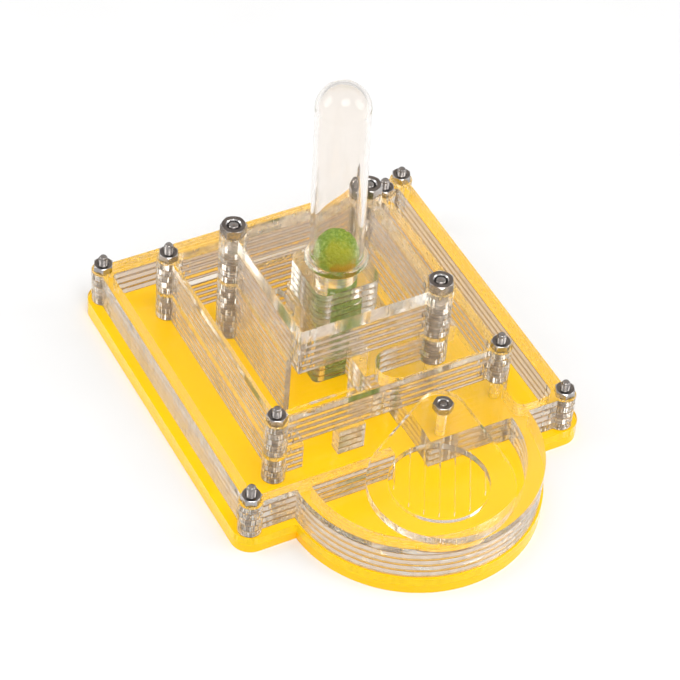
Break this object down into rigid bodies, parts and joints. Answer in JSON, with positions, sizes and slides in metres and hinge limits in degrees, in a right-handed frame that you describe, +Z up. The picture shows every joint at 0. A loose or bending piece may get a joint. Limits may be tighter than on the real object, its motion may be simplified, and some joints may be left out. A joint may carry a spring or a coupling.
{
  "type": "ant habitat",
  "caption": "Stepped square ant nest of clear laser-cut sheets on a yellow base, screwed together, with a round feeding arena, swinging hatch door and an upturned water tube.",
  "frame": {"origin": "centre of the square of tier 1 screws, on the underside of the base plate", "axes": "+Z up along the stacked sheets, -Y towards the feeding arena, +X to the right seen from the arena"},
  "size_m": [0.1128, 0.1475, 0.1123],
  "materials": {
    "clear_acrylic": "clear, polished faces, laser-cut edges",
    "yellow_acrylic": "glossy opaque yellow",
    "tube_glass": "clear, thin walled",
    "green_foam": "open-cell foam, mottled green and ochre",
    "steel": "bright zinc-plated steel"
  },
  "bodies": {
    "habitat": {"base_plate": "yellow_acrylic", "base_sheet": "clear_acrylic", "nest_sheet_1": "clear_acrylic", "nest_sheet_2": "clear_acrylic", "nest_sheet_3": "clear_acrylic", "nest_sheet_4": "clear_acrylic", "nest_partition_1": "clear_acrylic", "nest_partition_2": "clear_acrylic", "nest_partition_3": "clear_acrylic", "nest_partition_4": "clear_acrylic", "tier1_cover": "clear_acrylic", "tier2_ring_1": "clear_acrylic", "tier2_ring_2": "clear_acrylic", "tier2_ring_3": "clear_acrylic", "tier2_ring_4": "clear_acrylic", "tier2_lid": "clear_acrylic", "tier3_ring_1": "clear_acrylic", "tier3_ring_2": "clear_acrylic", "tier3_ring_3": "clear_acrylic", "tier3_ring_4": "clear_acrylic", "tier3_ring_5": "clear_acrylic", "feeder_block_1": "clear_acrylic", "feeder_block_2": "clear_acrylic", "feeder_block_3": "clear_acrylic", "feeder_block_4": "clear_acrylic", "feeder_block_5": "clear_acrylic", "tier3_slab": "clear_acrylic", "tier1_screws": "steel", "tier2_screws": "steel", "tier3_screws": "steel", "pivot_screw": "steel", "tier1_nuts": "steel", "tier2_nuts": "steel", "tier3_nuts": "steel", "pivot_nut": "steel"},
    "door": {"arena_door": "clear_acrylic"},
    "feeder": {"test_tube": "tube_glass", "foam_wick": "green_foam"}
  },
  "joints": [
    {"name": "door_swing", "type": "hinge", "parent": "habitat", "child": "door", "pos_m": [0.01375, -0.04415, 0.0195], "axis": [0, 0, 1], "range_deg": [-27, 66]},
    {"name": "feeder_lift", "type": "slide", "parent": "habitat", "child": "feeder", "axis": [0, 0, 1], "range_m": [0, 0.05]}
  ]
}
